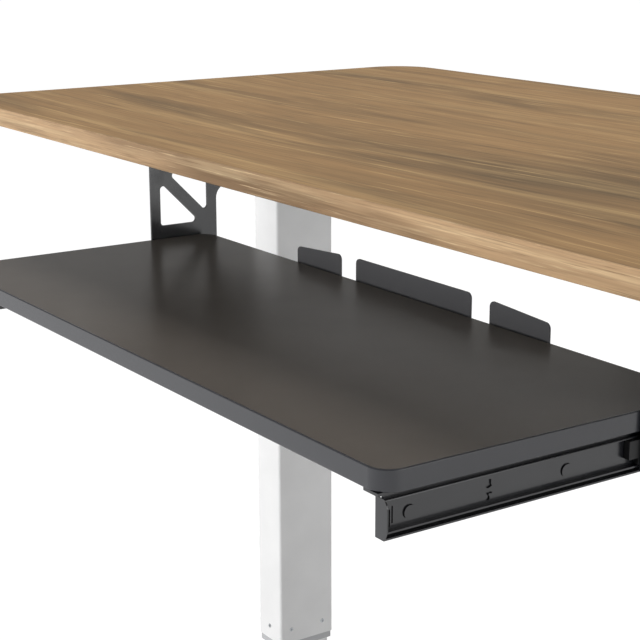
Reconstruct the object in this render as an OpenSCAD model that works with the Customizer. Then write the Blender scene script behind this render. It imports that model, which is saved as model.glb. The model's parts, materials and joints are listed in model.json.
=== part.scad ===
// Sit-stand computer desk with a pull-out keyboard tray on channel rails.
// X runs along the desk, Y from the user to the back, Z up from the floor.
// The origin is on the floor, under the middle of the desk with its tray pulled out.

/* [Desktop] */
// Width of the desktop
desk_w = 1140; // [1040:10:1600]
// Depth of the desktop, front to back
desk_d = 610; // [580:10:760]
// Thickness of the desktop
desk_t = 18; // [16:1:25]
// Radius of the desktop's corners
desk_corner_r = 50; // [10:5:80]
// Thickness of the edge band round the desktop and the tray
band_t = 1.5; // [1:0.5:3]
// Lowest height of the desktop above the floor
low_h = 715; // [690:5:760]
// How far the desktop rises above its lowest height
stroke = 440; // [300:10:450]
// How far the desktop stands above its lowest height, as drawn
lift = 55; // [0:5:300]

/* [Keyboard tray] */
// Width of the tray board
tray_w = 686; // [600:2:760]
// Depth of the tray board
tray_d = 280; // [240:2:300]
// Thickness of the tray board
tray_t = 15; // [12:1:20]
// Radius of the tray board's corners
tray_corner_r = 16; // [5:1:40]
// How far the tray stands out in front of the desktop when pulled out
tray_out = 98.5; // [80:0.5:120]
// Free height between the tray and the desktop
tray_drop = 113.5; // [90:0.5:140]
// Height of the outer stop plates above the tray, at their inner ends
stop_side_h = 18.5; // [12:0.5:30]
// How much lower the outer stop plates are at their outer ends
stop_fall = 4.5; // [0:0.5:6]
// Height of the middle stop plate above the tray
stop_mid_h = 19.5; // [12:0.5:30]
// Width of each outer stop plate
stop_side_w = 72; // [50:1:90]
// Width of the middle stop plate
stop_mid_w = 163; // [120:1:180]
// Space between neighbouring stop plates
stop_space = 24; // [15:1:40]
// Sheet thickness of the stop plates
stop_t = 1.5; // [1:0.5:3]
// Gap between the tray's back edge and the stop plates
stop_gap = 2.5; // [0.5:0.5:3]
// Depth of the stop plates' feet under the tray
stop_foot = 18; // [14:1:30]
// Corner radius of the stop plates
stop_r = 5; // [2:0.5:8]

/* [Slide rails] */
// Height of the rail
rail_h = 27; // [25:0.5:35]
// Width of the rail
rail_w = 12; // [11:0.5:16]
// Sheet thickness of the rail
rail_t = 1.2; // [1:0.1:1.5]
// Depth of the track along the rail's outer side
track_d = 4.3; // [3:0.1:5]
// Reach of the lip over the track
lip_reach = 1.9; // [1.5:0.1:2.5]
// Height of the ledge under the track above the rail's underside
ledge_h = 6.7; // [5:0.1:8]
// How far the rail's underside stays back from the ledge's edge
ledge_over = 3; // [1:0.5:4]
// Set-back of the rails from the tray's front edge
rail_inset = 3.5; // [2:0.5:10]
// Thickness of the rails' end plates
rail_end_t = 1; // [1:0.5:3]
// Radius of the end plates' upper outer corner
end_r = 6; // [3:0.5:8]
// Thickness of the angle that hangs the rail from the tray
angle_t = 2; // [1.5:0.5:2.5]
// Width of the angle's flange under the tray
angle_w = 15; // [14:1:30]
// Gap between the angle's flange and the rail under it
rail_drop = 1.5; // [0.5:0.5:4]
// Place of the front crescent cut behind the rail's front end
arc_front = 19.5; // [18:0.5:26]
// Place of the middle crescent cut behind the rail's front end
arc_mid = 149; // [110:1:160]
// Outer radius of the crescent cuts
arc_r = 4.7; // [4:0.1:5.5]

/* [Truss brackets] */
// Distance of the brackets behind the desktop's front edge
bracket_set = 116.5; // [100:0.5:125]
// Width of the hanging part of the bracket, front to back
bracket_l = 76.3; // [70:0.1:90]
// Length of the bracket's top, front to back
bracket_top_l = 134; // [110:1:138]
// Sheet thickness of the bracket
bracket_t = 2.5; // [2:0.5:3]
// Width of the bracket's flange under the desktop
flange_w = 30; // [24:1:40]
// Height of the bracket's long top part
bracket_head = 64.5; // [50:0.5:70]
// Radius where the bracket's back edge turns out into its top part
bracket_fillet = 14; // [6:0.5:15]
// Width of the bracket's upright struts
strut = 10.8; // [8:0.1:12]
// Width of the bracket's diagonal strut
brace = 12.4; // [9:0.1:14]
// Length of the sides of the triangular windows
window_leg = 45.5; // [40:0.5:50]
// Corner radius of the triangular windows
window_r = 3.5; // [2:0.5:6]
// Height of the lower window above the tray's top
window_base = 12.8; // [8:0.1:20]
// How far the slide block reaches in front of the bracket
block_lead = 10; // [8:1:20]

/* [Columns] */
// Size of the outer column along X
col_w = 46; // [40:1:55]
// Size of the outer column along Y
col_d = 72.5; // [60:0.5:80]
// Distance of the columns behind the middle of the desktop
leg_back = 3.5; // [0:0.5:10]
// Wall thickness of both column tubes
tube_t = 2; // [1.5:0.5:2.5]
// Outer corner radius of the outer column
col_r = 3; // [3:0.5:6]
// Space between the inner tube and the outer tube's bore
tube_space = 2; // [1.5:0.5:3]
// Space between the outer column and the truss bracket beside it
col_space = 5.5; // [4:0.5:20]
// Height of the slide bush inside the outer column
bush_h = 40; // [30:1:60]
// Height of the bush's collar below the outer column
bush_collar = 8; // [5:1:12]
// How far the collar stays back from the outer column's faces
bush_step = 1.3; // [1:0.1:2]
// Clearance between the bush and the inner column
bush_clear = 0.3; // [0.2:0.05:0.5]
// Free space under the outer column at its lowest height
low_space = 26; // [16:1:40]
// Radius of the lifting spindle
spindle_r = 6; // [5:0.5:8]
// Height of the spindle nut
nut_h = 30; // [20:1:40]

/* [Feet] */
// Length of each foot, front to back
foot_l = 560; // [480:10:600]
// Width of each foot
foot_w = 64; // [60:1:80]
// Height of the foot under the column
foot_h = 40; // [32:1:60]
// Height of the foot at its ends
foot_tip_h = 20; // [16:1:30]
// Length of the foot's level middle part
foot_flat = 150; // [140:5:240]
// Sheet thickness of the foot
foot_t = 2.5; // [2:0.5:4]
// Height of the levelling feet under the foot
level_h = 14; // [13:1:24]
// Radius of the levelling feet's pads
pad_r = 18; // [14:1:22]
// Thickness of the plate under the inner column
base_plate_t = 6; // [4:1:8]
// Length of the plate under the inner column
base_plate_l = 120; // [110:1:135]
// Width of the plate under the inner column
base_plate_w = 60; // [56:1:60]

/* [Top frame] */
// Length of the arms under the desktop
arm_l = 520; // [440:10:560]
// Sheet thickness of the arms
arm_t = 2.5; // [2:0.5:4]
// Height of the arms at the column
arm_h = 45; // [44:1:50]
// Height of the arms at their ends
arm_tip_h = 14; // [12:1:24]
// Length of the arm's deep middle part
arm_deep_l = 120; // [110:2:160]
// Height of the gearbox on the column
gear_h = 42; // [38:1:42]
// Length of the gearbox, front to back
gear_l = 86; // [80:1:100]
// Height of the crossbeam
beam_h = 30; // [26:1:36]
// Width of the crossbeam, front to back
beam_w = 34; // [30:1:38]
// Sheet thickness of the crossbeam
beam_t = 2; // [1.5:0.5:3]
// Width across the flats of the drive shaft
shaft_af = 8; // [6:0.5:10]
// Radius of the motor
motor_r = 26; // [22:1:28]
// Length of the motor
motor_l = 120; // [90:5:150]
// Width of the control box
box_w = 180; // [140:5:220]
// Depth of the control box
box_d = 80; // [60:2:100]
// Height of the control box
box_h = 30; // [24:1:40]
// Width of the handset
handset_w = 80; // [70:2:100]
// Depth of the handset
handset_d = 46; // [40:2:60]
// Height of the handset
handset_h = 20; // [18:1:26]
// Travel of the handset's buttons
button_travel = 1; // [0.5:0.1:1.5]

/* [Hidden] */
$fn = 48;
eps = 0.01;                          // overshoot of cuts through a face
fit = 0.2;                           // space round pieces pushed into each other
run = 0.08;                          // radial clearance of shafts in their bores
// Along Y: the whole desk with its tray out is centred on the origin.
y_front = (tray_out - desk_d) / 2;   // front edge of the desktop
y_desk = y_front + desk_d / 2;       // middle of the desktop
y_mid = y_desk + leg_back;           // the columns' axes
y_back = y_front + desk_d;
y_tray = y_front - tray_out;         // front edge of the tray
y_tray_back = y_tray + tray_d;
// Up the leg
z_foot = level_h + foot_h;           // top of the foot
z_inner = z_foot + base_plate_t;     // lower end of the inner column
desk_h = low_h + lift;
z_under = desk_h - desk_t;           // underside of the desktop
z_gear = z_under - arm_t - gear_h;   // top end of the outer column
outer_len = low_h - desk_t - arm_t - gear_h - z_inner - low_space;
z_outer = z_gear - outer_len;        // lower end of the outer column
plug_h = 12;                         // gearbox plug in the outer column
top_clear = 5;                       // inner column below the plug, when lowest
inner_len = outer_len + low_space - top_clear - plug_h;
z_inner_top = z_inner + inner_len;
inner_w = col_w - 2 * (tube_t + tube_space);
inner_d = col_d - 2 * (tube_t + tube_space);
inner_r = max(tube_t + 0.5, col_r - 1.5);
nut_r = inner_r - tube_t + 0.8;      // corners of the nut, clear of the tube's corners
// Across the desk: tray, bracket, column
x_tray = tray_w / 2;
side_gap = 1;                        // between tray and bracket
x_bracket = x_tray + side_gap;       // inner face of the bracket
x_col = x_bracket + bracket_t + col_space + col_w / 2;
// Tray and rails
z_tray = z_under - tray_drop;        // top of the tray
z_tray_low = z_tray - tray_t;
z_rail = z_tray_low - angle_t - rail_drop - rail_h;   // underside of the rail
rail_l = tray_d - rail_inset;
x_rail = x_tray - rail_w;            // inner side of the rail
x_web = x_tray - track_d;            // outer face of the rail's web
x_leg = x_web - rail_t;              // the web stands on the angle's leg
end_clear = 0.3;                     // block to end plate at either end of the travel
y_block = y_front + bracket_set - block_lead;
block_l = y_tray_back - rail_end_t - end_clear - y_block;
slide_clear = 0.4;                   // block to rail, all round
rivet_r = 3;
rivet_hole_r = 2;
rivet_head = 0.7;                    // height of the heads, let in flush with the web
rivet_up = 15.2;                     // rivets and crescents above the rail's underside
rivet_back = 14;                     // last rivet to the rail's back end
rivet_places = [0.2 * rail_l, 0.78 * rail_l, rail_l - rivet_back];
arc_shift = [1.7, -1.3];             // inner circle of a crescent from its outer one
rivet_edge = 12;                     // block rivets to the ends of the lap
block_rivets = [block_lead + rivet_edge, block_l - rivet_edge];
block_nose = [9, 5.2];               // step under the block's front: length, height
block_sink = 1.4;                    // rivet heads let into the block
leg_clear = 1;                       // the angle's leg ends above the rail's ledge
angle_inset = 0.5;                   // the angle's flange starts behind the tray's edge
leg_space = 0.3;                     // leg to the rail's end plates
slot_w = 1.1;                        // upright slots near the rail's front end
slot_h = 11.2;
slot_places = [[4.4, 8], [6.5, 9.9]];    // behind the front end, above the underside
lance_place = 0.56 * arc_mid;        // pair of lanced openings, one over the other
lance_up = 15.5;
lance_high = [[-0.2, 7], [1.8, 6.6], [1.8, 3.3], [2.6, 2.1], [1.2, 1.4], [-0.8, 0.7],
    [-3.8, 2.5], [-2.4, 3.9], [-0.4, 4.4]];
lance_low = [[-3.8, -1], [-2.4, -0.3], [0, -1.1], [3, -2.4], [2.4, -3.1], [0.2, -2.9],
    [-0.1, -4.1], [0.8, -4.7], [0.8, -6.8], [-0.4, -7.4], [-2.4, -6.5], [-0.8, -5.1],
    [-1, -3.8], [-2.8, -2.4]];
bracket_short = 3;                   // the bracket ends above the rail's underside
bracket_end_h = 20;                  // height of the bracket's back end
// Fasteners
bolt_r = 3;
bolt_head_r = 5.5;
bolt_head_h = 3;
bolt_play = 0.3;
bolt_bite = 12;                      // length of a bolt in the gearbox
wood_r = 2;
wood_head_r = 4.2;
wood_head_h = 2.2;
wood_bite = 12;                      // length of a wood screw in the board
tray_bite = 9;
base_bolt_x = base_plate_w / 2 - 8;
base_bolt_y = base_plate_l / 2 - 10;
base_bolt_l = 6;                     // bolt below the foot's sheet
base_nut = [5.8, 5];                 // radius, height of the hexagon nuts
foot_r = foot_w / 3;
level_y = foot_l / 2 - 36;
level_plate = 34;                    // nut plate in the foot over each levelling foot
stud_r = 4;
stud_up = 12;
jam_nut = [7.5, 5];
pad_h = 8;
// Top frame
arm_w = col_w + 2 * bolt_play + 2 * arm_t;
arm_screws = [for (f = [-0.45, -0.29, 0.29, 0.45]) f * arm_l];
x_arm = x_col - arm_w / 2;           // inner face of the arm
z_shaft = z_under - arm_t - gear_h / 2;
nose = [24, 40];                     // motor housing round the shaft: depth, height
y_beam = y_mid - nose[0] / 2 - 1 - beam_w / 2;   // middle of the crossbeam
beam_bolt_space = 14;
gear_bolt_y = gear_l / 2 - 11;
journal_r = shaft_af / 2;
journal_l = 16;
housing_l = 44;
motor_gap = 5;                       // motor housing below the desktop
housing_r = motor_r + 2;
y_motor = y_mid + nose[0] / 2 + 5 + housing_r;
housing_bore_r = 0.7 * shaft_af;
housing_bolt_z = 14;                 // housing bolts above and below the shaft
gear_r = 4;
arm_r = 14;
cap = [motor_r - 6, 8];              // end cap of the motor: radius, length
gland = [4, 9];                      // cord gland: radius, length
z_motor = z_under - motor_gap - housing_r;
spindle_up = 14;                     // end of the spindle inside the gearbox
ring_r = spindle_r + 3;              // stop ring at the spindle's lower end
ring_h = 6;
spindle_len = stroke + top_clear + plug_h + nut_h + ring_h + 2;
// Control box and handset
x_box = 60;
y_box = y_back - 60 - box_d / 2;
box_r = 6;
box_tab = [12, 30, 3];               // screw tab: reach, width, thickness
inlet = [9, 24, 16];                 // mains inlet: depth, width, height
inlet_y = 10;
port = [11, 10, 8];                  // plug sockets: width, depth, height
port_places = [-30, 0];
x_handset = desk_w / 2 - 65;
handset_r = 4;
handset_tab = [18, 4];               // mounting tab behind the handset: depth, height
handset_screw_in = 7;                // screws from the handset's sides
y_handset = y_front + 6;
z_button = z_under - handset_h / 2;
button = [18, 6.5, 9];               // width, length inwards, height
button_out = 1.5;
button_gap = 0.3;
button_pitch = 30;
button_pocket = 6.2 + button_travel;

// Node names.

// Rounded rectangle, centred, with true arcs.
module round_rect(w, d, r) {
    square([w, d - 2 * r], center = true);
    square([w - 2 * r, d], center = true);
    for (x = [-1, 1], y = [-1, 1])
        translate([x * (w / 2 - r), y * (d / 2 - r)]) circle(r);
}

// Rectangular tube section with round corners.
module tube_section(w, d, t, r) {
    difference() {
        round_rect(w, d, r);
        round_rect(w - 2 * t, d - 2 * t, r - t);
    }
}

// Stands a drawing in the YZ plane and gives it a thickness along X.
module along_x(l) {
    rotate([90, 0, 90]) linear_extrude(l) children();
}

// Draws the right-hand piece, or its mirror image on the left.
module side(s) {
    if (s < 0) mirror([1, 0, 0]) children();
    else children();
}

// Round bar along X from x = 0.
module bar_x(r, l) {
    rotate([0, 90, 0]) cylinder(r = r, h = l);
}

// Pan-head wood screw that points up, with the underside of its head at z = 0.
module wood_screw(bite) {
    translate([0, 0, -wood_head_h]) cylinder(r = wood_head_r, h = wood_head_h);
    cylinder(r = wood_r, h = bite);
}

// Pilot hole for the same screw in a board whose underside is at z = 0.
module pilot(bite) {
    translate([0, 0, -eps]) cylinder(r = wood_r, h = bite + eps);
}

// Machine bolt along +X, with the underside of its head at x = 0.
module bolt_x(l) {
    translate([-bolt_head_h, 0, 0]) bar_x(bolt_head_r, bolt_head_h);
    bar_x(bolt_r, l);
}

// ---- desktop ----

module board(w, d, t, r) {
    linear_extrude(t) round_rect(w - 2 * band_t, d - 2 * band_t, max(1, r - band_t));
}

module edging(w, d, t, r) {
    linear_extrude(t) difference() {
        round_rect(w, d, r);
        round_rect(w - 2 * band_t, d - 2 * band_t, max(1, r - band_t));
    }
}

// Where the arms, brackets, control box and handset are screwed to the desktop.
function bracket_screw_y() = [for (f = [0.12, 0.5, 0.88])
    y_front + bracket_set + f * bracket_top_l];
x_flange_screw = x_bracket - flange_w / 2;
function box_screw_x() = [for (s = [-1, 1]) x_box + s * (box_w + box_tab[0]) / 2];
function handset_screw_x() = [for (s = [-1, 1])
    x_handset + s * (handset_w / 2 - handset_screw_in)];
y_handset_screw = y_handset + handset_d - handset_tab[0] / 2 - 1;

module at_desk_screws() {
    for (s = [-1, 1], y = arm_screws) translate([s * x_col, y_mid + y, z_under]) children();
    for (s = [-1, 1], y = bracket_screw_y()) translate([s * x_flange_screw, y, z_under])
        children();
    for (x = box_screw_x()) translate([x, y_box, z_under]) children();
    for (x = handset_screw_x()) translate([x, y_handset_screw, z_under]) children();
}

module desktop() {
    color("peru") difference() {
        translate([0, y_desk, z_under]) board(desk_w, desk_d, desk_t, desk_corner_r);
        at_desk_screws() pilot(wood_bite);
    }
}

module desktop_edging() {
    color("tan") translate([0, y_desk, z_under])
        edging(desk_w, desk_d, desk_t, desk_corner_r);
}

// ---- keyboard tray ----

y_tray_mid = y_tray + tray_d / 2;
x_angle_screw = x_leg - (angle_w + angle_t) / 2;
function angle_screw_y() = [for (f = [0.1, 0.5, 0.9]) y_tray + rail_inset + f * rail_l];
y_stop_screw = y_tray_back - stop_foot / 2;
x_stop_side = stop_mid_w / 2 + stop_space + stop_side_w / 2;
stop_mid_screws = [-0.35 * stop_mid_w, 0.35 * stop_mid_w];
stop_side_screws = [-0.3 * stop_side_w, 0.3 * stop_side_w];
stop_screw_x = concat(stop_mid_screws,
    [for (s = [-1, 1], x = stop_side_screws) s * x_stop_side + x]);

module tray_board() {
    color("dimgray") difference() {
        translate([0, y_tray_mid, z_tray_low]) board(tray_w, tray_d, tray_t, tray_corner_r);
        for (s = [-1, 1], y = angle_screw_y())
            translate([s * x_angle_screw, y, z_tray_low]) pilot(tray_bite);
        for (x = stop_screw_x) translate([x, y_stop_screw, z_tray_low]) pilot(tray_bite);
    }
}

module tray_edging() {
    color("gray") translate([0, y_tray_mid, z_tray_low])
        edging(tray_w, tray_d, tray_t, tray_corner_r);
}

// Upright plate behind the tray's back edge, on a foot that is screwed under the tray.
// Its top edge falls by an amount towards its right-hand end.
module stop_plate(w, up, screws, fall = 0) {
    h = tray_t + up + stop_t;
    z0 = z_tray_low - stop_t;
    a = w / 2 - stop_r;
    fall_out = fall * (1 - stop_r / w);
    fall_in = fall * stop_r / w;
    color("darkslategray") difference() {
        union() {
            translate([0, y_tray_back + stop_gap + stop_t, z0]) rotate([90, 0, 0])
                linear_extrude(stop_t) {
                    polygon([[-w / 2, 0], [-w / 2, h - fall_in - stop_r], [-a, h - fall_in - stop_r],
                        [-a, h - fall_in], [a, h - fall_out], [a, h - fall_out - stop_r],
                        [w / 2, h - fall_out - stop_r], [w / 2, 0]]);
                    translate([-a, h - fall_in - stop_r]) circle(stop_r);
                    translate([a, h - fall_out - stop_r]) circle(stop_r);
                }
            translate([-w / 2, y_tray_back - stop_foot, z0])
                cube([w, stop_foot + stop_gap + eps, stop_t]);
        }
        for (x = screws) translate([x, y_stop_screw, z0 - eps])
            cylinder(r = wood_r + bolt_play, h = stop_t + 2 * eps);
    }
}

module side_stop_plate() {
    translate([x_stop_side, 0, 0])
        stop_plate(stop_side_w, stop_side_h, stop_side_screws, stop_fall);
}

module stop_screws() {
    color("silver") for (x = stop_screw_x)
        translate([x, y_stop_screw, z_tray_low - stop_t]) wood_screw(tray_bite + stop_t);
}

// Double channel seen along the rail: u outwards, v up. The track lies on the outer side,
// between a lip and a ledge, with a hollow under the ledge.
module rail_section() {
    web = rail_w - track_d - rail_t;
    square([rail_w - ledge_over, rail_t]);
    translate([0, eps]) square([rail_t, ledge_h - 2 * eps]);
    translate([0, ledge_h - rail_t]) square([rail_w, rail_t]);
    translate([web, ledge_h - eps]) square([rail_t, rail_h - ledge_h]);
    translate([web, rail_h - rail_t]) square([lip_reach, rail_t]);
    intersection() {
        translate([web + lip_reach, rail_h - rail_t]) circle(rail_t);
        translate([web + eps, rail_h - rail_t]) square([lip_reach + rail_t, rail_t]);
    }
}

// Cap over the rail's end, with a large radius at its upper outer corner.
module end_section() {
    polygon([[0, 0], [rail_w - ledge_over, 0], [rail_w, ledge_h], [rail_w, rail_h - end_r],
        [rail_w - end_r, rail_h - end_r], [rail_w - end_r, rail_h], [0, rail_h]]);
    translate([rail_w - end_r, rail_h - end_r]) circle(end_r);
}

// From the outer face of the web at each rivet.
module at_rivets() {
    for (y = rivet_places)
        translate([x_web, y_tray + rail_inset + y, z_rail + rivet_up]) children();
}

module rail() {
    y0 = y_tray + rail_inset;
    color("slategray") difference() {
        union() {
            translate([x_rail, y0 + rail_l - eps, z_rail]) rotate([90, 0, 0])
                linear_extrude(rail_l - 2 * eps) rail_section();
            for (y = [y0 + rail_end_t, y0 + rail_l]) translate([x_rail, y, z_rail])
                rotate([90, 0, 0]) linear_extrude(rail_end_t) end_section();
        }
        at_rivets() {
            translate([-rivet_head, 0, 0]) bar_x(rivet_r, rivet_head + eps);
            translate([-rail_t - eps, 0, 0]) bar_x(rivet_hole_r, rail_t + 2 * eps);
        }
        // two upright slots, two crescents and a pair of lanced openings in the web
        translate([x_web - rail_t - eps, y0, z_rail]) along_x(rail_t + 2 * eps) {
            for (p = slot_places) translate(p) square([slot_w, slot_h]);
            for (y = [arc_front, arc_mid]) translate([y, rivet_up]) difference() {
                circle(arc_r);
                translate(arc_shift) circle(arc_r);
            }
            translate([lance_place, lance_up]) {
                polygon(lance_high);
                polygon(lance_low);
            }
        }
    }
}

// Angle between the tray and the rail: its flange under the board, its leg in the rail.
module rail_angle() {
    y0 = y_tray + rail_inset;
    drop = angle_t + rail_drop + rail_h - ledge_h - leg_clear;
    gap = rail_end_t + leg_space;
    color("darkslategray") difference() {
        union() {
            translate([x_leg - angle_t, y0 + gap, z_tray_low - drop])
                cube([angle_t, rail_l - 2 * gap, drop]);
            translate([x_leg - angle_w, y_tray + angle_inset, z_tray_low - angle_t])
                cube([angle_w, tray_d - angle_inset, angle_t]);
        }
        at_rivets() translate([x_leg - x_web - angle_t - eps, 0, 0])
            bar_x(rivet_hole_r, angle_t + 2 * eps);
        for (y = angle_screw_y()) translate([x_angle_screw, y, z_tray_low - angle_t - eps])
            cylinder(r = wood_r + bolt_play, h = angle_t + 2 * eps);
    }
}

module rail_rivets() {
    tail = 1;
    color("slategray") for (s = [-1, 1]) side(s) at_rivets() {
        translate([-rivet_head, 0, 0]) bar_x(rivet_r, rivet_head);
        translate([x_leg - x_web - angle_t, 0, 0])
            bar_x(rivet_hole_r, angle_t + rail_t - rivet_head + eps);
        translate([x_leg - x_web - angle_t - tail, 0, 0]) bar_x(rivet_r, tail);
    }
}

module angle_screws() {
    color("silver") for (s = [-1, 1], y = angle_screw_y())
        translate([s * x_angle_screw, y, z_tray_low - angle_t]) wood_screw(tray_bite + angle_t);
}

// ---- truss brackets and slide blocks ----

// Right-angled triangle with round corners; the right angle is at the origin.
module window() {
    c = window_leg - window_r * (1 + sqrt(2));
    k = window_r / sqrt(2);
    polygon([[window_r, 0], [c, 0], [c + k, window_r + k], [window_r + k, c + k],
        [0, c], [0, window_r]]);
    for (p = [[window_r, window_r], [c, window_r], [window_r, c]]) translate(p) circle(window_r);
}

// Bracket plate seen from the side; the origin is its front top corner.
module truss_outline() {
    low = tray_drop + tray_t + angle_t + rail_drop + rail_h - bracket_short;
    lean = bracket_head - bracket_end_h;
    z_low = window_base - tray_drop;
    z_high = z_low + 2 * window_leg + 2 * strut + brace * sqrt(2) - bracket_l;
    difference() {
        union() {
            translate([0, -low]) square([bracket_l, low]);
            polygon([[0, 0], [0, -bracket_head], [bracket_top_l - lean, -bracket_head],
                [bracket_top_l, lean - bracket_head], [bracket_top_l, 0]]);
            translate([bracket_l - eps, -bracket_head - bracket_fillet]) difference() {
                square([bracket_fillet + eps, bracket_fillet + eps]);
                translate([bracket_fillet + eps, 0]) circle(bracket_fillet);
            }
        }
        translate([strut, z_low]) window();
        translate([bracket_l - strut, z_high]) rotate(180) window();
    }
}

module at_block_rivets() {
    z = z_rail + (rail_h + ledge_h - rail_t) / 2;
    for (y = block_rivets) translate([x_bracket, y_block + y, z]) children();
}

module truss_bracket() {
    color("dimgray") difference() {
        union() {
            translate([x_bracket, y_front + bracket_set, z_under])
                along_x(bracket_t) truss_outline();
            translate([x_bracket - flange_w, y_front + bracket_set, z_under - bracket_t])
                cube([flange_w + eps, bracket_top_l, bracket_t]);
        }
        for (y = bracket_screw_y()) translate([x_flange_screw, y, z_under - bracket_t - eps])
            cylinder(r = wood_r + bolt_play, h = bracket_t + 2 * eps);
        at_block_rivets() translate([-eps, 0, 0]) bar_x(rivet_hole_r, bracket_t + 2 * eps);
    }
}

module truss_screws() {
    color("silver") for (s = [-1, 1], y = bracket_screw_y())
        translate([s * x_flange_screw, y, z_under - bracket_t]) wood_screw(wood_bite + bracket_t);
}

// Slide block on the bracket, running in the rail's track.
module slide_block() {
    low = ledge_h + slide_clear;
    high = rail_h - rail_t - slide_clear;
    x0 = x_web + slide_clear;
    color("black") difference() {
        translate([x0, y_block, z_rail + low]) cube([x_bracket - x0, block_l, high - low]);
        translate([x0 - eps, y_block - eps, z_rail + low - eps])
            cube([x_bracket - x0 + 2 * eps, block_nose[0], block_nose[1]]);
        at_block_rivets() translate([x0 - x_bracket - eps, 0, 0])
            bar_x(rivet_hole_r, x_bracket - x0 + 2 * eps);
        at_block_rivets() translate([x0 - x_bracket - eps, 0, 0])
            bar_x(rivet_r + fit, block_sink + eps);
    }
}

module block_rivets() {
    inner = x_bracket - x_web - slide_clear;     // through the block
    color("silver") for (s = [-1, 1]) side(s) at_block_rivets() {
        translate([-inner + block_sink, 0, 0])
            bar_x(rivet_hole_r, inner - block_sink + bracket_t + eps);
        translate([-inner + 0.2, 0, 0]) bar_x(rivet_r, block_sink - 0.2);
        translate([bracket_t, 0, 0]) bar_x(rivet_r, 1);
    }
}

// ---- columns ----

// Screws that hold the bush: two on each broad face, one on each narrow face.
bush_screw_up = 16;
bush_screw_space = 43;
bush_screw_r = 1.5;
bush_screw_head = [2.4, 0.6];        // radius, height
bush_screw_l = tube_t + tube_space - bush_clear;
module at_bush_screws() {
    z = z_outer + bush_screw_up;
    for (a = [0, 180], y = [-1, 1])
        translate([x_col, y_mid, z]) rotate([0, 0, a])
            translate([col_w / 2, y * bush_screw_space / 2, 0]) children();
    for (a = [90, 270])
        translate([x_col, y_mid, z]) rotate([0, 0, a]) translate([col_d / 2, 0, 0]) children();
}

module outer_column() {
    color("whitesmoke") difference() {
        translate([x_col, y_mid, z_outer]) linear_extrude(outer_len)
            tube_section(col_w, col_d, tube_t, col_r);
        at_bush_screws() translate([-tube_t - 1, 0, 0]) bar_x(bush_screw_r, tube_t + 2);
    }
}

module column_bush() {
    clear = 2 * bush_clear;
    color("darkgray") difference() {
        union() {
            translate([x_col, y_mid, z_outer - bush_collar]) linear_extrude(bush_collar)
                round_rect(col_w - 2 * bush_step, col_d - 2 * bush_step, col_r - bush_step);
            translate([x_col, y_mid, z_outer - eps]) linear_extrude(bush_h)
                round_rect(col_w - 2 * tube_t - fit, col_d - 2 * tube_t - fit, col_r - tube_t);
        }
        translate([x_col, y_mid, z_outer - bush_collar - 1]) linear_extrude(bush_h + bush_collar + 2)
            round_rect(inner_w + clear, inner_d + clear, inner_r + bush_clear);
        at_bush_screws() translate([-tube_t - tube_space, 0, 0])
            bar_x(bush_screw_r, tube_space + tube_t);
    }
}

module bush_screws() {
    color("lightgray") at_bush_screws() {
        translate([-bush_screw_l, 0, 0]) bar_x(bush_screw_r, bush_screw_l + eps);
        bar_x(bush_screw_head[0], bush_screw_head[1]);
    }
}

module inner_column() {
    color("white") translate([x_col, y_mid, z_inner]) linear_extrude(inner_len)
        tube_section(inner_w, inner_d, tube_t, inner_r);
}

module spindle_nut() {
    w = inner_w - 2 * tube_t - fit;
    d = inner_d - 2 * tube_t - fit;
    color("goldenrod") difference() {
        translate([x_col, y_mid, z_inner_top - nut_h]) linear_extrude(nut_h)
            round_rect(w, d, nut_r);
        translate([x_col, y_mid, z_inner_top - nut_h - 1])
            cylinder(r = spindle_r + run, h = nut_h + 2);
    }
}

module spindle() {
    color("silver") translate([x_col, y_mid, 0]) {
        translate([0, 0, z_gear - spindle_len]) cylinder(r = spindle_r, h = spindle_len + spindle_up);
        translate([0, 0, z_gear - spindle_len]) cylinder(r = ring_r, h = ring_h);
    }
}

// ---- feet ----

module foot_profile(inset) {
    l = foot_l / 2;
    f = foot_flat / 2;
    polygon([[-l, -2 * inset], [-l, foot_tip_h - inset], [-f, foot_h - inset],
        [f, foot_h - inset], [l, foot_tip_h - inset], [l, -2 * inset]]);
}

module foot_block(inset) {
    intersection() {
        translate([-foot_w / 2, 0, 0]) along_x(foot_w) foot_profile(inset);
        translate([0, 0, -3 * inset - eps]) linear_extrude(foot_h + 3 * inset + eps)
            round_rect(foot_w - 2 * inset, foot_l - 2 * inset, foot_r - inset);
    }
}

module at_base_bolts() {
    for (x = [-1, 1], y = [-1, 1])
        translate([x_col + x * base_bolt_x, y_mid + y * base_bolt_y, z_foot]) children();
}

// Pressed-steel foot, open underneath, with a nut plate over each levelling foot.
module foot() {
    color("white") difference() {
        translate([x_col, y_mid, level_h]) {
            difference() {
                foot_block(0);
                foot_block(foot_t);
            }
            for (s = [-1, 1]) translate([0, s * level_y, foot_t / 2])
                cube([foot_w - foot_t, level_plate, foot_t], center = true);
        }
        at_base_bolts() translate([0, 0, -foot_t - 1])
            cylinder(r = bolt_r + bolt_play, h = foot_t + 2);
        for (s = [-1, 1]) translate([x_col, y_mid + s * level_y, level_h - 1])
            cylinder(r = stud_r, h = foot_t + 2);
    }
}

module base_plate() {
    color("white") difference() {
        translate([x_col, y_mid, z_foot]) linear_extrude(base_plate_t)
            round_rect(base_plate_w, base_plate_l, 6);
        at_base_bolts() translate([0, 0, -1])
            cylinder(r = bolt_r + bolt_play, h = base_plate_t + 2);
    }
}

module foot_bolts() {
    color("silver") at_base_bolts() {
        translate([0, 0, base_plate_t]) cylinder(r = bolt_head_r, h = bolt_head_h);
        translate([0, 0, -foot_t - base_bolt_l])
            cylinder(r = bolt_r, h = base_plate_t + foot_t + base_bolt_l + eps);
        translate([0, 0, -foot_t - base_nut[1]]) cylinder(r = base_nut[0], h = base_nut[1], $fn = 6);
    }
}

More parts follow.
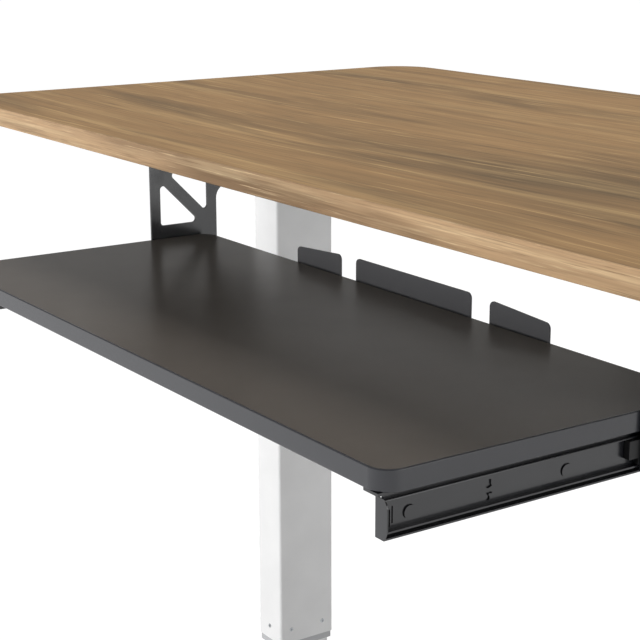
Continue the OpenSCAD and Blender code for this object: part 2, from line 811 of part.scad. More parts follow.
module levelling_feet() {
    color("black") for (s = [-1, 1]) translate([x_col, y_mid + s * level_y, 0]) {
        rotate_extrude() polygon([[0, 0], [pad_r - 1, 0], [pad_r, 1], [pad_r, pad_h / 2],
            [pad_r / 2, pad_h], [0, pad_h]]);
        cylinder(r = stud_r, h = level_h + stud_up);
        translate([0, 0, level_h - jam_nut[1]]) cylinder(r = jam_nut[0], h = jam_nut[1], $fn = 6);
    }
}

// ---- lifting gear under the desktop ----

module gearbox() {
    color("dimgray") difference() {
        union() {
            translate([x_col, y_mid, z_gear]) linear_extrude(gear_h)
                round_rect(col_w, gear_l, gear_r);
            translate([x_col, y_mid, z_gear - plug_h]) linear_extrude(plug_h + eps)
                round_rect(col_w - 2 * tube_t - fit, col_d - 2 * tube_t - fit, col_r - tube_t);
        }
        translate([x_col, y_mid, z_gear - plug_h - 1])
            cylinder(r = spindle_r + run, h = plug_h + spindle_up + 2);
        translate([x_col - col_w / 2 - 1, y_mid, z_shaft]) bar_x(journal_r + run, journal_l + 2);
        at_gear_bolts() translate([-1, 0, 0]) bar_x(bolt_r, 1 + bolt_bite);
        at_housing_bolts() translate([-1, 0, 0]) bar_x(bolt_r, 1 + bolt_bite);
    }
}

// Bolt places on the gearbox's faces; +X points into the gearbox.
module at_gear_bolts() {
    for (y = [-1, 1]) {
        translate([x_col - col_w / 2, y_beam + y * beam_bolt_space / 2, z_shaft]) children();
        translate([x_col + col_w / 2, y_mid + y * gear_bolt_y, z_shaft])
            mirror([1, 0, 0]) children();
    }
}

module at_housing_bolts() {
    for (z = [-1, 1])
        translate([x_col - col_w / 2, y_mid, z_shaft + z * housing_bolt_z]) children();
}

module arm_profile() {
    l = arm_l / 2;
    f = arm_deep_l / 2;
    polygon([[-l, 0], [-l, -arm_tip_h], [-f, -arm_h], [f, -arm_h], [l, -arm_tip_h], [l, 0]]);
}

// Channel-section arm, open underneath, that straddles the gearbox.
module support_arm() {
    color("white") difference() {
        intersection() {
            translate([x_col - arm_w / 2, y_mid, z_under]) along_x(arm_w) arm_profile();
            translate([x_col, y_mid, z_under - arm_h - 1]) linear_extrude(arm_h + 1)
                round_rect(arm_w, arm_l, arm_r);
        }
        translate([x_col, y_mid, z_under - arm_h - 1]) linear_extrude(arm_h + 1 - arm_t)
            round_rect(arm_w - 2 * arm_t, arm_l - 2 * arm_t, arm_r - arm_t);
        for (y = arm_screws) translate([x_col, y_mid + y, z_under - arm_t - 1])
            cylinder(r = wood_r + bolt_play, h = arm_t + 2);
        translate([x_arm - 1, y_mid, z_shaft]) bar_x(shaft_af, arm_t + 2);
        at_gear_bolts() translate([-arm_t - 2, 0, 0]) bar_x(bolt_r + bolt_play, arm_t + 3);
        at_housing_bolts() translate([-arm_t - 2, 0, 0]) bar_x(bolt_r + bolt_play, arm_t + 3);
    }
}

module arm_screw_set() {
    color("silver") for (s = [-1, 1], y = arm_screws)
        translate([s * x_col, y_mid + y, z_under - arm_t]) wood_screw(wood_bite + arm_t);
}

// Bolts through the arms into the gearboxes; the inner ones also hold the crossbeam.
module gearbox_bolts() {
    inner_grip = bolt_play + arm_t + beam_t;
    outer_grip = bolt_play + arm_t;
    color("silver") for (s = [-1, 1]) side(s) for (y = [-1, 1]) {
        translate([x_col - col_w / 2 - inner_grip, y_beam + y * beam_bolt_space / 2, z_shaft])
            bolt_x(inner_grip + bolt_bite);
        translate([x_col + col_w / 2 + outer_grip, y_mid + y * gear_bolt_y, z_shaft])
            mirror([1, 0, 0]) bolt_x(outer_grip + bolt_bite);
    }
}

// Crossbeam: a channel, open underneath, with an end plate against each arm.
module crossbeam() {
    l = 2 * x_arm;
    color("white") difference() {
        translate([-l / 2, y_beam - beam_w / 2, z_under - beam_h]) cube([l, beam_w, beam_h]);
        translate([-l / 2 + beam_t, y_beam - beam_w / 2 + beam_t, z_under - beam_h - 1])
            cube([l - 2 * beam_t, beam_w - 2 * beam_t, beam_h + 1 - beam_t]);
        for (s = [-1, 1]) side(s) for (y = [-1, 1])
            translate([x_arm - beam_t - 1, y_beam + y * beam_bolt_space / 2, z_shaft])
                bar_x(bolt_r + bolt_play, beam_t + 2);
    }
}

// Hexagonal drive shaft with a round journal in each gearbox.
module drive_shaft() {
    hex_l = 2 * (x_col - col_w / 2 - 0.5);
    hex_r = shaft_af / 2 / cos(30);
    l = 2 * (x_col - col_w / 2 + journal_l);
    color("silver") translate([0, y_mid, z_shaft]) {
        translate([-hex_l / 2, 0, 0]) rotate([0, 90, 0]) cylinder(r = hex_r, h = hex_l, $fn = 6);
        translate([-l / 2, 0, 0]) bar_x(journal_r, l);
    }
}

// Spur gear housing between the motor and the drive shaft.
module motor_housing() {
    dy = y_motor - y_mid;
    dz = z_motor - z_shaft;
    color("dimgray") difference() {
        translate([x_arm - housing_l, y_mid, z_shaft]) along_x(housing_l) {
            round_rect(nose[0], nose[1], gear_r);
            translate([dy, dz]) circle(housing_r);
            polygon([[0, nose[1] / 2], [0, -nose[1] / 2], [dy, dz - housing_r],
                [dy, dz + housing_r]]);
        }
        translate([x_arm - housing_l - 1, y_mid, z_shaft]) bar_x(housing_bore_r, housing_l + 2);
        at_housing_bolts() translate([-housing_l - 10, 0, 0])
            bar_x(bolt_r + bolt_play, housing_l + 10);
    }
}

module housing_bolts() {
    grip = x_col - col_w / 2 - x_arm + housing_l;
    color("silver") at_housing_bolts() translate([-grip, 0, 0]) bolt_x(grip + bolt_bite);
}

module motor() {
    x_end = x_arm - housing_l - motor_l;
    color("gray") translate([0, y_motor, z_motor]) {
        translate([x_end, 0, 0]) bar_x(motor_r, motor_l);
        translate([x_end - cap[1], 0, 0]) bar_x(cap[0], cap[1] + eps);
        translate([x_end + 3 * gland[0], motor_r - 1, 0]) rotate([-90, 0, 0])
            cylinder(r = gland[0], h = gland[1]);
    }
}

module control_box() {
    color("darkslategray") difference() {
        union() {
            translate([x_box, y_box, z_under - box_h]) linear_extrude(box_h)
                round_rect(box_w, box_d, box_r);
            translate([x_box - box_w / 2 - box_tab[0], y_box - box_tab[1] / 2,
                z_under - box_tab[2]]) cube([box_w + 2 * box_tab[0], box_tab[1], box_tab[2]]);
        }
        for (x = box_screw_x()) translate([x, y_box, z_under - box_tab[2] - 1])
            cylinder(r = wood_r + bolt_play, h = box_tab[2] + 2);
        translate([x_box - box_w / 2 - eps, y_box + inlet_y, z_under - box_h / 2])
            translate([0, -inlet[1] / 2, -inlet[2] / 2]) cube(inlet);
        for (x = port_places)
            translate([x_box + x - port[0] / 2, y_box - box_d / 2 - eps,
                z_under - (box_h + port[2]) / 2]) cube(port);
    }
}

module box_screws() {
    color("silver") for (x = box_screw_x())
        translate([x, y_box, z_under - box_tab[2]]) wood_screw(wood_bite + box_tab[2]);
}

// ---- handset ----

module handset() {
    body_d = handset_d - handset_tab[0];
    color("dimgray") difference() {
        union() {
            translate([x_handset, y_handset + body_d / 2, z_under - handset_h])
                linear_extrude(handset_h) round_rect(handset_w, body_d, handset_r);
            translate([x_handset, y_handset + handset_d / 2, z_under - handset_tab[1]])
                linear_extrude(handset_tab[1]) round_rect(handset_w, handset_d, handset_r);
            translate([x_handset, y_handset + body_d - 1, z_button - 2])
                rotate([-90, 0, 0]) cylinder(r = gland[0], h = gland[1]);
        }
        for (x = handset_screw_x())
            translate([x, y_handset_screw, z_under - handset_tab[1] - 1])
                cylinder(r = wood_r + bolt_play, h = handset_tab[1] + 2);
        for (s = [-1, 1])
            translate([x_handset + s * button_pitch / 2, y_handset - 1, z_button])
                rotate([-90, 0, 0]) linear_extrude(button_pocket + 1)
                    round_rect(button[0] + 2 * button_gap, button[2] + 2 * button_gap,
                        button_r + button_gap);
    }
}

module handset_screws() {
    color("silver") for (x = handset_screw_x())
        translate([x, y_handset_screw, z_under - handset_tab[1]])
            wood_screw(wood_bite + handset_tab[1]);
}

// Push button that slides straight into the handset's front.
button_r = 2;
module handset_button(s) {
    color("lightgray")
        translate([x_handset + s * button_pitch / 2, y_handset - button_out, z_button])
            rotate([-90, 0, 0]) linear_extrude(button[1])
                round_rect(button[0], button[2], button_r);
}

desktop();
desktop_edging();
tray_board();
tray_edging();
side(-1) side_stop_plate();  // stop_plate_left
stop_plate(stop_mid_w, stop_mid_h, stop_mid_screws);  // stop_plate_middle
side(1) side_stop_plate();  // stop_plate_right
stop_screws();
side(-1) rail();  // rail_left
side(1) rail();  // rail_right
side(-1) rail_angle();  // rail_angle_left
side(1) rail_angle();  // rail_angle_right
rail_rivets();
angle_screws();
side(-1) truss_bracket();  // truss_bracket_left
side(1) truss_bracket();  // truss_bracket_right
truss_screws();
side(-1) slide_block();  // slide_block_left
side(1) slide_block();  // slide_block_right
block_rivets();
side(-1) outer_column();  // outer_column_left
side(1) outer_column();  // outer_column_right
side(-1) column_bush();  // column_bush_left
side(1) column_bush();  // column_bush_right
side(-1) bush_screws();  // bush_screws_left
side(1) bush_screws();  // bush_screws_right
side(-1) inner_column();  // inner_column_left
side(1) inner_column();  // inner_column_right
side(-1) spindle_nut();  // spindle_nut_left
side(1) spindle_nut();  // spindle_nut_right
side(-1) spindle();  // spindle_left
side(1) spindle();  // spindle_right
side(-1) base_plate();  // base_plate_left
side(1) base_plate();  // base_plate_right
side(-1) foot();  // foot_left
side(1) foot();  // foot_right
side(-1) foot_bolts();  // foot_bolts_left
side(1) foot_bolts();  // foot_bolts_right
side(-1) levelling_feet();  // levelling_feet_left
side(1) levelling_feet();  // levelling_feet_right
side(-1) gearbox();  // gearbox_left
side(1) gearbox();  // gearbox_right
side(-1) support_arm();  // support_arm_left
side(1) support_arm();  // support_arm_right
arm_screw_set();  // arm_screws
gearbox_bolts();
crossbeam();
drive_shaft();
motor_housing();
motor();
housing_bolts();
control_box();
box_screws();
handset();
handset_screws();
handset_button(-1);  // button_up
handset_button(1);  // button_down
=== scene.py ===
import json
import math

import bmesh
import bpy
from bpy.props import FloatProperty, FloatVectorProperty, PointerProperty
from mathutils import Matrix, Vector

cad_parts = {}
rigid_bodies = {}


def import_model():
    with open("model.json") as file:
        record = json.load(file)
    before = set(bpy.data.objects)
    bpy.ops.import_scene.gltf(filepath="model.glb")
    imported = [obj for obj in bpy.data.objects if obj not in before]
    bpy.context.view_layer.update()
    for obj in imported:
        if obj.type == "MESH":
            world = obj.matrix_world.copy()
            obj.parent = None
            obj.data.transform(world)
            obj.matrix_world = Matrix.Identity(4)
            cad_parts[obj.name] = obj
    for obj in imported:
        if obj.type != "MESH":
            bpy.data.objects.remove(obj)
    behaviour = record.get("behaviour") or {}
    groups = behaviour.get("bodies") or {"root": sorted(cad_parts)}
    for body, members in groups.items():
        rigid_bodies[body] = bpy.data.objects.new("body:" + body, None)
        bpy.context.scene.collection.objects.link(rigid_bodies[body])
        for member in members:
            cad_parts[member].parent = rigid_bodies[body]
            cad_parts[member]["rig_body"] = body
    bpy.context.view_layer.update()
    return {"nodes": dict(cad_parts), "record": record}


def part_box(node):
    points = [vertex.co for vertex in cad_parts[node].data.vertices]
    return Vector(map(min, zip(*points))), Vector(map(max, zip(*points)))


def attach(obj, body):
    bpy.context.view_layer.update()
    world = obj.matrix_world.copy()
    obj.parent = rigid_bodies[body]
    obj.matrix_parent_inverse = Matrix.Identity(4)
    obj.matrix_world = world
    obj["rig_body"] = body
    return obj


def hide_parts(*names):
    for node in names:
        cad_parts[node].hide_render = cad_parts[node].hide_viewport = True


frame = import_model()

bl_info = {
    "name": "Sit-stand desk with keyboard tray",
    "version": (1, 0, 0),
    "blender": (4, 5, 0),
    "location": "View3D > Sidebar > Desk",
    "description": "Gives the desk its laminate, powder coat, screws and small fittings",
    "category": "Object",
}

MM = 0.001
SIDES = ("left", "right")

# Corners of loose triangles closer than MERGE are one corner, and faces that turn by less
# than FLAT are one face.
MERGE = 0.002 * MM
FLAT = math.radians(0.3)
# Edges that turn by more than these are rounded, or stay sharp in the shading.
BEVEL_ANGLE = math.radians(25)
SHARP_ANGLE = math.radians(38)

# Radii of the edges of the smaller parts.
TUBE_ARRIS = 0.3 * MM
NUT_ARRIS = 0.35 * MM
NYLON_ARRIS = 0.4 * MM
BUTTON_ARRIS = 0.5 * MM
CASE_ARRIS = 0.6 * MM
PLATE_ARRIS = 0.6 * MM
GEARBOX_ARRIS = 0.8 * MM

# Screws and bolts: radius and height of the head, and radius of the shank.
BUSH_SCREW = (2.4 * MM, 0.6 * MM, 1.5 * MM)
MOTOR_SCREW = (2.2 * MM, 1.4 * MM, 1.2 * MM)
WOOD_SCREW = (4.2 * MM, 2.2 * MM, 2 * MM)
M6_BOLT = (5.5 * MM, 3 * MM, 3 * MM)
BUSH_SCREW_LENGTH = 3.6 * MM
MOTOR_SCREW_LENGTH = 4 * MM
# Recesses in their heads.
CROSS, HEXAGON = "cross", "hexagon"
# Nuts: width across flats and height.
M6_NUT = (10.05 * MM, 5 * MM)
M8_NUT = (13 * MM, 5 * MM)
# A foot's bolts stand out of their nuts by this much.
BOLT_END = 1 * MM
# Levelling feet: M8 studs in nylon pads.
STUD_RADIUS, STUD_CORE, STUD_PITCH = 4 * MM, 3.4 * MM, 1.25 * MM
PAD_HEIGHT = 8 * MM

# Lamps: size and place. The stage settings give their power under the same names, and all
# aim at a point under the middle of the desktop.
LAMPS = {
    "key": ((3.2, 1.2), (-0.9, -3.8, 0.7)),
    "fill": ((2.0, 2.0), (3.2, 0.9, 1.0)),
    "overhead": ((1.0, 1.0), (0.0, 0.5, 3.0)),
}
LAMP_AIM = (0.0, 0.0, 0.65)
CAMERA_PLACE = (1.0614, -0.88645, 0.9663)
SENSOR_WIDTH = 36
WHITE = (1, 1, 1, 1)
# The floor reaches this far each way and lights the desk with its own colour. Where it is
# seen, its glow and a share of the lamps' light add up to white, and to less in the shadow.
FLOOR_REACH = 40
FLOOR_COLOUR = "#E4E4E4"
FLOOR_SHADE = 0.2
FLOOR_GLOW = 0.94
# The sky's light leans to the left and upwards.
SKY_LEAN = (-0.42, 0.0, 0.58)
SKY_IN_GLOSS = 0.4


# ---- colours and sizes that a user would change ----

def linear(code):
    """An sRGB hex colour as the linear values that a shader takes."""
    parts = [int(code[i:i + 2], 16) / 255 for i in (1, 3, 5)]
    return [c / 12.92 if c <= 0.04045 else ((c + 0.055) / 1.055) ** 2.4 for c in parts]


def colour(name, code, description):
    """A colour property with an sRGB hex default."""
    return FloatVectorProperty(name=name, description=description, subtype="COLOR", size=3,
                               min=0.0, max=1.0, default=linear(code))


def length(name, millimetres, description):
    """A length property with a default in millimetres."""
    return FloatProperty(name=name, description=description, subtype="DISTANCE",
                         unit="LENGTH", min=0.0, precision=5, default=millimetres * MM)


class DeskColours(bpy.types.PropertyGroup):
    """Colours of the desk's finishes"""
    oak: colour("Oak", "#A68359", "Main tone of the desktop's laminate")
    oak_dark: colour("Dark oak", "#65543C", "Darker bands in the laminate")
    oak_light: colour("Light oak", "#D9B681", "Light streaks in the laminate")
    backing: colour("Backing", "#CFCECB", "Balancing sheet under the desktop")
    band: colour("Edge band", "#B89874", "Main tone of the desktop's edge band")
    band_dark: colour("Dark edge band", "#6E553B", "Darker grain of the edge band")
    band_light: colour("Light edge band", "#E8CEA4", "Lighter grain of the edge band")
    tray: colour("Tray", "#59534D", "Warm black laminate of the tray")
    tray_band: colour("Tray edge band", "#2B2C31", "Edge band of the tray")
    black_coat: colour("Black powder coat", "#1F2024", "Rails, angles and brackets")
    # The stops are black powder coat. This lighter copy of it is painted light, for the light
    # that the stops catch.
    stop_coat_painted_light: colour("Black coat lightened as painted light", "#59595B", "Stop plates")
    white_coat: colour("White powder coat", "#EDEDED", "Columns, feet and top frame")
    black_nylon: colour("Black nylon", "#161617", "Slide blocks and levelling feet")
    bush: colour("Bush", "#B9BABC", "Nylon bush under each outer column")
    casting: colour("Casting", "#5B5D60", "Gearboxes and motor housing")
    motor: colour("Motor", "#2B2C2E", "Motor can")
    plastic: colour("Black ABS", "#26272A", "Control box and handset")
    button: colour("Grey ABS", "#9B9EA2", "Buttons of the handset")


class DeskSizes(bpy.types.PropertyGroup):
    """Sizes of the details that the frame leaves to the finish"""
    board_arris: length("Board arris", 0.9, "Radius of the arrises of the boards' edge bands")
    sheet_arris: length("Sheet arris", 0.25, "Radius of the edges of cut sheet metal")
    fold_radius: length("Fold radius", 2.0, "Outer radius of the folds along the feet's tops")
    cast_radius: length("Cast radius", 1.6, "Radius of the edges of castings and mouldings")
    grain_length: length("Grain length", 450, "Length of a streak in the wood grain")
    grain_width: length("Grain width", 14, "Width of a streak in the wood grain")


class DeskStage(bpy.types.PropertyGroup):
    """Camera and light"""
    lens: FloatProperty(name="Lens", description="Focal length on a 36 mm sensor",
                        subtype="DISTANCE_CAMERA", min=10, default=89.24)
    azimuth: FloatProperty(name="Azimuth", description="Direction of the camera round the desk",
                           subtype="ANGLE", default=math.radians(55.85))
    elevation: FloatProperty(name="Elevation", description="How far the camera looks down",
                             subtype="ANGLE", default=math.radians(14.62))
    roll: FloatProperty(name="Roll", description="Turn of the camera about its own axis",
                        subtype="ANGLE", default=math.radians(-0.15))
    key: FloatProperty(name="Key light", description="Power of the large lamp in front",
                       subtype="POWER", min=0, default=114)
    fill: FloatProperty(name="Fill light", description="Power of the soft lamp on the right",
                        subtype="POWER", min=0, default=27)
    overhead: FloatProperty(name="Overhead light", description="Power of the lamp above the desk",
                            subtype="POWER", min=0, default=29)
    sky: FloatProperty(name="Sky", description="Strength of the soft light from all round",
                       min=0, default=0.26)


# ---- shader nodes ----

def add(tree, kind, inputs=(), **settings):
    """Adds a shader node: settings are its own options, inputs its sockets' values or links."""
    node = tree.nodes.new(kind)
    for key, value in settings.items():
        setattr(node, key, value)
    for key, value in dict(inputs).items():
        if isinstance(value, bpy.types.NodeSocket):
            tree.links.new(value, node.inputs[key])
        else:
            node.inputs[key].default_value = value
    return node


def start(name, base, roughness, metallic=0.0, ior=1.5, level=0.5):
    """A new material: its node tree, its shader and the object coordinates in metres."""
    material = bpy.data.materials.new(name)
    material.use_nodes = True
    tree = material.node_tree
    shader = tree.nodes["Principled BSDF"]
    shader.inputs["Base Color"].default_value = (*base, 1)
    shader.inputs["Roughness"].default_value = roughness
    shader.inputs["Metallic"].default_value = metallic
    shader.inputs["IOR"].default_value = ior
    shader.inputs["Specular IOR Level"].default_value = level
    place = add(tree, "ShaderNodeTexCoord").outputs["Object"]
    return material, tree, shader, place


def cells(*millimetres):
    """Scale of a Mapping node for a pattern whose cells are this many millimetres long."""
    return [1000 / size for size in millimetres]


def mottle(tree, shader, place, base, size_mm, spread):
    """Lets the base colour vary by a share of itself, in soft patches of the given size."""
    at = add(tree, "ShaderNodeMapping", {"Vector": place, "Scale": cells(*[size_mm] * 3)})
    patch = add(tree, "ShaderNodeTexNoise", {"Vector": at.outputs[0], "Scale": 1, "Detail": 3})
    tone = add(tree, "ShaderNodeMapRange", {"Value": patch.outputs["Fac"], "From Min": 0.3,
                                            "From Max": 0.7, "To Min": 1 - spread,
                                            "To Max": 1 + spread})
    mixed = add(tree, "ShaderNodeVectorMath", {0: tuple(base), "Scale": tone.outputs[0]},
                operation="SCALE")
    tree.links.new(mixed.outputs[0], shader.inputs["Base Color"])


def relief(tree, shader, place, size_mm, depth_mm, strength=1.0, detail=2):
    """A fine random relief of the given cell size and depth."""
    at = add(tree, "ShaderNodeMapping", {"Vector": place, "Scale": cells(*[size_mm] * 3)})
    grit = add(tree, "ShaderNodeTexNoise", {"Vector": at.outputs[0], "Scale": 1,
                                            "Detail": detail})
    bump = add(tree, "ShaderNodeBump", {"Height": grit.outputs["Fac"], "Strength": strength,
                                        "Distance": depth_mm * MM})
    tree.links.new(bump.outputs[0], shader.inputs["Normal"])


def uneven_gloss(tree, shader, place, size_mm, low, high):
    """Roughness that drifts between two values in patches of the given size."""
    at = add(tree, "ShaderNodeMapping", {"Vector": place, "Scale": cells(*[size_mm] * 3)})
    patch = add(tree, "ShaderNodeTexNoise", {"Vector": at.outputs[0], "Scale": 1, "Detail": 4})
    gloss = add(tree, "ShaderNodeMapRange", {"Value": patch.outputs["Fac"], "From Min": 0.35,
                                             "From Max": 0.65, "To Min": low, "To Max": high})
    tree.links.new(gloss.outputs[0], shader.inputs["Roughness"])


def oak_laminate(name, mid, dark, light, long_mm, wide_mm, along=(1, 0, 0), gloss=0.12):
    """Melamine laminate with a printed oak grain, pressed with a satin plate: broad soft
    darker bands, long streaks, short pale flecks and fine dark pores along the board."""
    material, tree, shader, place = start(name, mid, 0.5, ior=1.5, level=gloss)

    def sized(long, wide):
        return cells(*[long if a else wide for a in along])

    # The grain wanders sideways by up to 70 mm, in waves of 900 mm.
    wave_long, wave_wide, wander = 900, 240, 70 * MM
    at = add(tree, "ShaderNodeMapping", {"Vector": place, "Scale": sized(wave_long, wave_wide)})
    drift = add(tree, "ShaderNodeTexNoise", {"Vector": at.outputs[0], "Scale": 1, "Detail": 2})
    sway = add(tree, "ShaderNodeVectorMath", {0: drift.outputs["Color"], 1: (0.0, wander, 0.0)},
               operation="MULTIPLY")
    place = add(tree, "ShaderNodeVectorMath", {0: place, 1: sway.outputs[0]},
                operation="ADD").outputs[0]

    def pattern(long, wide, low, high, to_low, to_high, detail, seed):
        at = add(tree, "ShaderNodeMapping", {
            "Vector": place, "Location": (seed, 2 * seed, -seed),
            "Scale": sized(long * long_mm, wide * wide_mm)})
        grain = add(tree, "ShaderNodeTexNoise", {"Vector": at.outputs[0], "Scale": 1,
                                                 "Detail": detail, "Roughness": 0.6})
        return add(tree, "ShaderNodeMapRange", {
            "Value": grain.outputs["Fac"], "From Min": low, "From Max": high,
            "To Min": to_low, "To Max": to_high}).outputs[0]

    def blend(factor, below, tone):
        return add(tree, "ShaderNodeMix", {"Factor": factor, 6: below, 7: (*tone, 1)},
                   data_type="RGBA").outputs[2]

    bands = pattern(1.6, 7, 0.46, 0.68, 0.0, 0.8, 3, 2.35)
    tint = blend(bands, (*mid, 1), dark)
    # Length and width against a streak's, range of the noise, strongest mix, tone and seed.
    for long, wide, low, high, most, tone, seed in (
            (1.1, 1.7, 0.50, 0.72, 0.4, light, 7.7),
            (0.7, 0.8, 0.52, 0.7, 0.45, dark, 1.3),
            (0.3, 0.3, 0.58, 0.74, 0.7, light, 8.9),
            (0.2, 0.25, 0.56, 0.72, 0.6, dark, 4.2)):
        tint = blend(pattern(long, wide, low, high, 0.0, most, 4, seed), tint, tone)
    lines = pattern(0.4, 0.22, 0.35, 0.65, 0.89, 1.1, 4, 5.9)
    tint = add(tree, "ShaderNodeVectorMath", {0: tint, "Scale": lines}, operation="SCALE")
    tree.links.new(tint.outputs[0], shader.inputs["Base Color"])
    # The press plate leaves hairlines along the grain, drawn 1.3 mm wide so that they show.
    hairs = pattern(0.25, 0.09, 0.2, 0.8, 0.0, 1.0, 3, 9.4)
    bump = add(tree, "ShaderNodeBump", {"Height": hairs, "Strength": 0.5,
                                        "Distance": 0.03 * MM})
    tree.links.new(bump.outputs[0], shader.inputs["Normal"])
    return material


def backing_sheet(name, base):
    """Plain balancing sheet of resin paper under the board: pale, dull, faintly fibrous."""
    material, tree, shader, place = start(name, base, 0.6, ior=1.5, level=0.3)
    mottle(tree, shader, place, base, 12, 0.02)
    relief(tree, shader, place, 0.8, 0.01, 0.4)
    return material


def black_laminate(name, base):
    """Warm black melamine laminate on fibreboard, pressed with a stippled plate: satin,
    with a fine grain that breaks up what it mirrors."""
    material, tree, shader, place = start(name, base, 0.25, ior=1.5, level=0.12)
    mottle(tree, shader, place, base, 60, 0.04)
    # A stipple of 0.4 mm is drawn at 1.2 mm, so that it shows.
    relief(tree, shader, place, 1.2, 0.02, 0.4)
    return material


def edge_band(name, base):
    """ABS edge band, extruded and buffed to the board: smooth, and glossier than the
    laminate, so that it mirrors the pale floor."""
    material, tree, shader, place = start(name, base, 0.26, ior=1.53, level=0.55)
    mottle(tree, shader, place, base, 30, 0.05)
    relief(tree, shader, place, 0.9, 0.01, 0.4)
    return material


def powder_coat(name, base, roughness, level=0.5):
    """Polyester powder coat on steel, baked: a fine orange peel under a satin skin."""
    material, tree, shader, place = start(name, base, roughness, ior=1.5, level=level)
    mottle(tree, shader, place, base, 45, 0.03)
    uneven_gloss(tree, shader, place, 20, roughness - 0.05, roughness + 0.05)
    # Orange peel has cells of about 1.5 mm. It is drawn 0.02 mm deep, so that it shows.
    relief(tree, shader, place, 1.5, 0.02, 0.6)
    return material


def moulded(name, base, roughness, ior, grit_mm, level=0.5):
    """Injection-moulded plastic from a spark-eroded mould: dull, with a fine even grit."""
    material, tree, shader, place = start(name, base, roughness, ior=ior, level=level)
    mottle(tree, shader, place, base, 25, 0.04)
    relief(tree, shader, place, grit_mm, 0.04, 0.5)
    return material


def zinc_plated(name):
    """Zinc-plated steel, barrel plated and blue passivated: bright with cloudy patches."""
    base = linear("#B4B7BB")
    material, tree, shader, place = start(name, base, 0.34, metallic=1.0)
    mottle(tree, shader, place, base, 4, 0.1)
    uneven_gloss(tree, shader, place, 3, 0.26, 0.42)
    return material


def turned_bronze(name):
    """Turned tin bronze: warm, with fine rings left by the lathe."""
    base = linear("#C08A4E")
    material, tree, shader, place = start(name, base, 0.36, metallic=1.0)
    mottle(tree, shader, place, base, 8, 0.08)
    at = add(tree, "ShaderNodeMapping", {"Vector": place, "Scale": cells(40, 40, 0.5)})
    rings = add(tree, "ShaderNodeTexNoise", {"Vector": at.outputs[0], "Scale": 1, "Detail": 1})
    bump = add(tree, "ShaderNodeBump", {"Height": rings.outputs["Fac"], "Strength": 0.4,
                                        "Distance": 0.02 * MM})
    tree.links.new(bump.outputs[0], shader.inputs["Normal"])
    return material


def cast_aluminium(name, base):
    """Die-cast aluminium, tumbled: grey, dull, with a coarse soft grain."""
    material, tree, shader, place = start(name, base, 0.5, metallic=0.85)
    mottle(tree, shader, place, base, 6, 0.12)
    relief(tree, shader, place, 0.9, 0.06, 0.6, detail=4)
    return material


def threaded_steel(name, axis):
    """Rolled steel spindle: bright flanks, with painted shade darkening the base colour in the
    groove of a thread. Two starts of 8 mm lead put a groove every 4 mm."""
    base = linear("#9EA1A6")
    spacing = 4 * MM
    material, tree, shader, place = start(name, base, 0.3, metallic=1.0)
    from_axis = add(tree, "ShaderNodeVectorMath", {0: place, 1: axis}, operation="SUBTRACT")
    part = add(tree, "ShaderNodeSeparateXYZ", {0: from_axis.outputs[0]})
    turn = add(tree, "ShaderNodeMath", {0: part.outputs["Y"], 1: part.outputs["X"]},
               operation="ARCTAN2")
    share = add(tree, "ShaderNodeMath", {0: turn.outputs[0], 1: 1 / math.pi},
                operation="MULTIPLY")
    climb = add(tree, "ShaderNodeMath", {0: part.outputs["Z"], 1: 1 / spacing,
                                         2: share.outputs[0]}, operation="MULTIPLY_ADD")
    groove = add(tree, "ShaderNodeMath", {0: climb.outputs[0], 1: 1.0}, operation="PINGPONG")
    bump = add(tree, "ShaderNodeBump", {"Height": groove.outputs[0], "Strength": 1.0,
                                        "Distance": 1.2 * MM})
    tree.links.new(bump.outputs[0], shader.inputs["Normal"])
    # Painted shade: the base colour darkens to 0.45 of itself in the thread's groove.
    tone = add(tree, "ShaderNodeMapRange", {"Value": groove.outputs[0], "From Min": 0.1,
                                            "From Max": 0.4, "To Min": 0.45, "To Max": 1.0})
    tint = add(tree, "ShaderNodeVectorMath", {0: tuple(base), "Scale": tone.outputs[0]},
               operation="SCALE")
    tree.links.new(tint.outputs[0], shader.inputs["Base Color"])
    return material


def finish_for(slot):
    """The desk's material for a slot of the record, made when it is first asked for."""
    found = bpy.data.materials.get("desk_" + slot)
    if found:
        return found
    c = bpy.context.scene.desk_colours
    sizes = bpy.context.scene.desk_sizes
    name = "desk_" + slot
    long_mm, wide_mm = sizes.grain_length / MM, sizes.grain_width / MM
    # The band has a finer grain than the board, and it runs along all four edges.
    band_grain = (0.6 * long_mm, 0.38 * wide_mm, (1, 1, 0), 0.25)
    makers = {
        "oak_laminate": lambda: oak_laminate(name, c.oak, c.oak_dark, c.oak_light,
                                             long_mm, wide_mm),
        "oak_edge_band": lambda: oak_laminate(name, c.band, c.band_dark, c.band_light,
                                              *band_grain),
        "backing_sheet": lambda: backing_sheet(name, c.backing),
        "black_laminate": lambda: black_laminate(name, c.tray),
        "black_edge_band": lambda: edge_band(name, c.tray_band),
        "black_powder_coat": lambda: powder_coat(name, c.black_coat, 0.22, 0.65),
        # A lighter, duller copy of the black coat for the stops: its extra lightness is painted
        # light.
        "grey_powder_coat": lambda: powder_coat(name, c.stop_coat_painted_light, 0.45, 0.3),
        "white_powder_coat": lambda: powder_coat(name, c.white_coat, 0.45, 0.4),
        "black_nylon": lambda: moulded(name, c.black_nylon, 0.5, 1.53, 0.8, 0.25),
        "grey_nylon": lambda: moulded(name, c.bush, 0.5, 1.53, 0.8),
        "black_abs": lambda: moulded(name, c.plastic, 0.55, 1.54, 1.0),
        "grey_abs": lambda: moulded(name, c.button, 0.45, 1.54, 0.9),
        "zinc_plated_steel": lambda: zinc_plated(name),
        "bronze": lambda: turned_bronze(name),
        "cast_housing": lambda: cast_aluminium(name, c.casting),
        "motor_can": lambda: powder_coat(name, c.motor, 0.35),
    }
    return makers[slot]()


# ---- meshes ----

